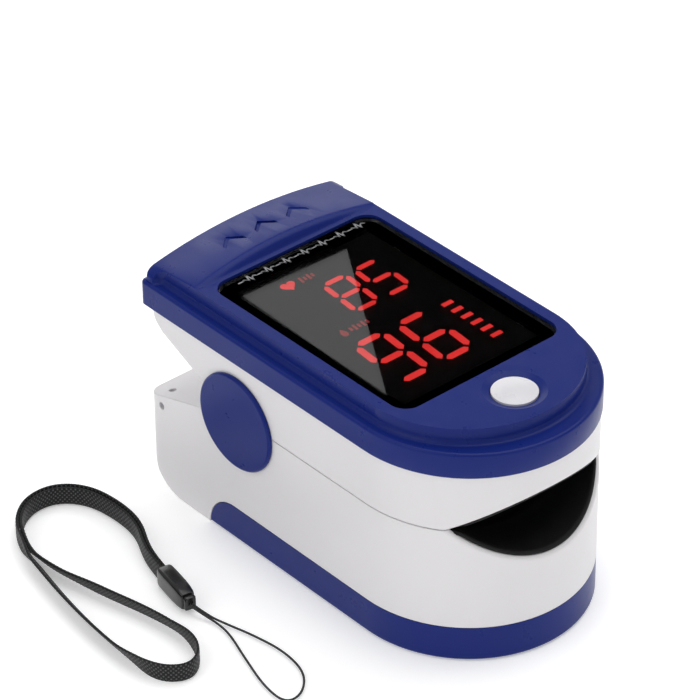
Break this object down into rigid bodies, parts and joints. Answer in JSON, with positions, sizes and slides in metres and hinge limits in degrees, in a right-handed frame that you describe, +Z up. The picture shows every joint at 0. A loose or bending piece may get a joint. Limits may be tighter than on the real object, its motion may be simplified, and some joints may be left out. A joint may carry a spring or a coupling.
{
  "type": "fingertip pulse oximeter",
  "caption": "Sprung two-jaw finger clip with a dark display window, push button, sliding battery cover and a loose wrist lanyard.",
  "frame": {"origin": "middle of the clip's footprint on the plane that its battery cover rests on, lanyard left out", "axes": "+Z up through the display, +Y from the finger opening to the squeeze lip, +X to the right seen from the finger opening"},
  "size_m": [0.0589, 0.0642, 0.0346],
  "materials": {
    "white_shell": "satin moulded ABS",
    "blue_shell": "satin moulded ABS",
    "button_white": "satin moulded ABS",
    "dark_lens": "polished tinted acrylic",
    "black_silicone": "matt silicone",
    "cell_jacket": "printed sleeve over a steel can",
    "contact_steel": "nickel plated",
    "spring_steel": "drawn wire",
    "shaft_steel": "turned",
    "green_board": "solder mask over glass epoxy",
    "chip_black": "moulded package",
    "module_black": "display housing",
    "lit_red": "lit light guides",
    "clear_window": "clear epoxy",
    "sensor_amber": "polyimide",
    "black_tape": "foam tape",
    "switch_metal": "stamped",
    "strap_black": "woven polyester",
    "clasp_black": "moulded",
    "thread_black": "braided polyester"
  },
  "bodies": {
    "base": {"lower_shell": "white_shell", "lower_finger_pad": "black_silicone", "battery_left": "cell_jacket", "battery_right": "cell_jacket", "battery_springs": "contact_steel", "negative_terminal": "contact_steel", "positive_terminal": "contact_steel", "terminal_bridge": "contact_steel", "photodiode": "chip_black", "photodiode_board": "green_board", "photodiode_window": "clear_window", "hinge_shaft": "shaft_steel", "hinge_cap_left": "blue_shell", "hinge_cap_right": "blue_shell", "torsion_spring_left": "spring_steel", "torsion_spring_right": "spring_steel", "sensor_flex": "sensor_amber", "lanyard_strap": "strap_black", "lanyard_clasp": "clasp_black", "lanyard_thread": "thread_black"},
    "cover": {"battery_cover": "blue_shell"},
    "upper_jaw": {"upper_shell": "white_shell", "upper_finger_pad": "black_silicone", "top_cover": "blue_shell", "display_lens": "dark_lens", "lens_tape": "black_tape", "display_module": "module_black", "display_segments": "lit_red", "main_pcb": "green_board", "microcontroller": "chip_black", "flex_connector": "chip_black", "support_chips": "chip_black", "switch_body": "switch_metal", "pcb_screws": "shaft_steel", "case_screws": "shaft_steel", "emitter": "sensor_amber", "emitter_board": "green_board", "emitter_window": "clear_window", "spring_arm_left": "spring_steel", "spring_arm_right": "spring_steel"},
    "button": {"power_button": "button_white", "switch_plunger": "chip_black"}
  },
  "joints": [
    {"name": "jaw_hinge", "type": "hinge", "parent": "base", "child": "upper_jaw", "pos_m": [0, 0.0113, 0.0188], "axis": [-1, 0, 0], "range_deg": [0, 28], "stiffness_Nm_per_rad": 0.08, "springref_deg": -34.38, "deforming": ["sensor_flex"]},
    {"name": "button_press", "type": "slide", "parent": "upper_jaw", "child": "button", "axis": [0, 0, -1], "range_m": [0, 0.0003], "stiffness_N_per_m": 400, "springref_m": -0.002},
    {"name": "battery_cover_slide", "type": "slide", "parent": "base", "child": "cover", "axis": [0, -1, 0], "range_m": [0, 0.046]}
  ]
}
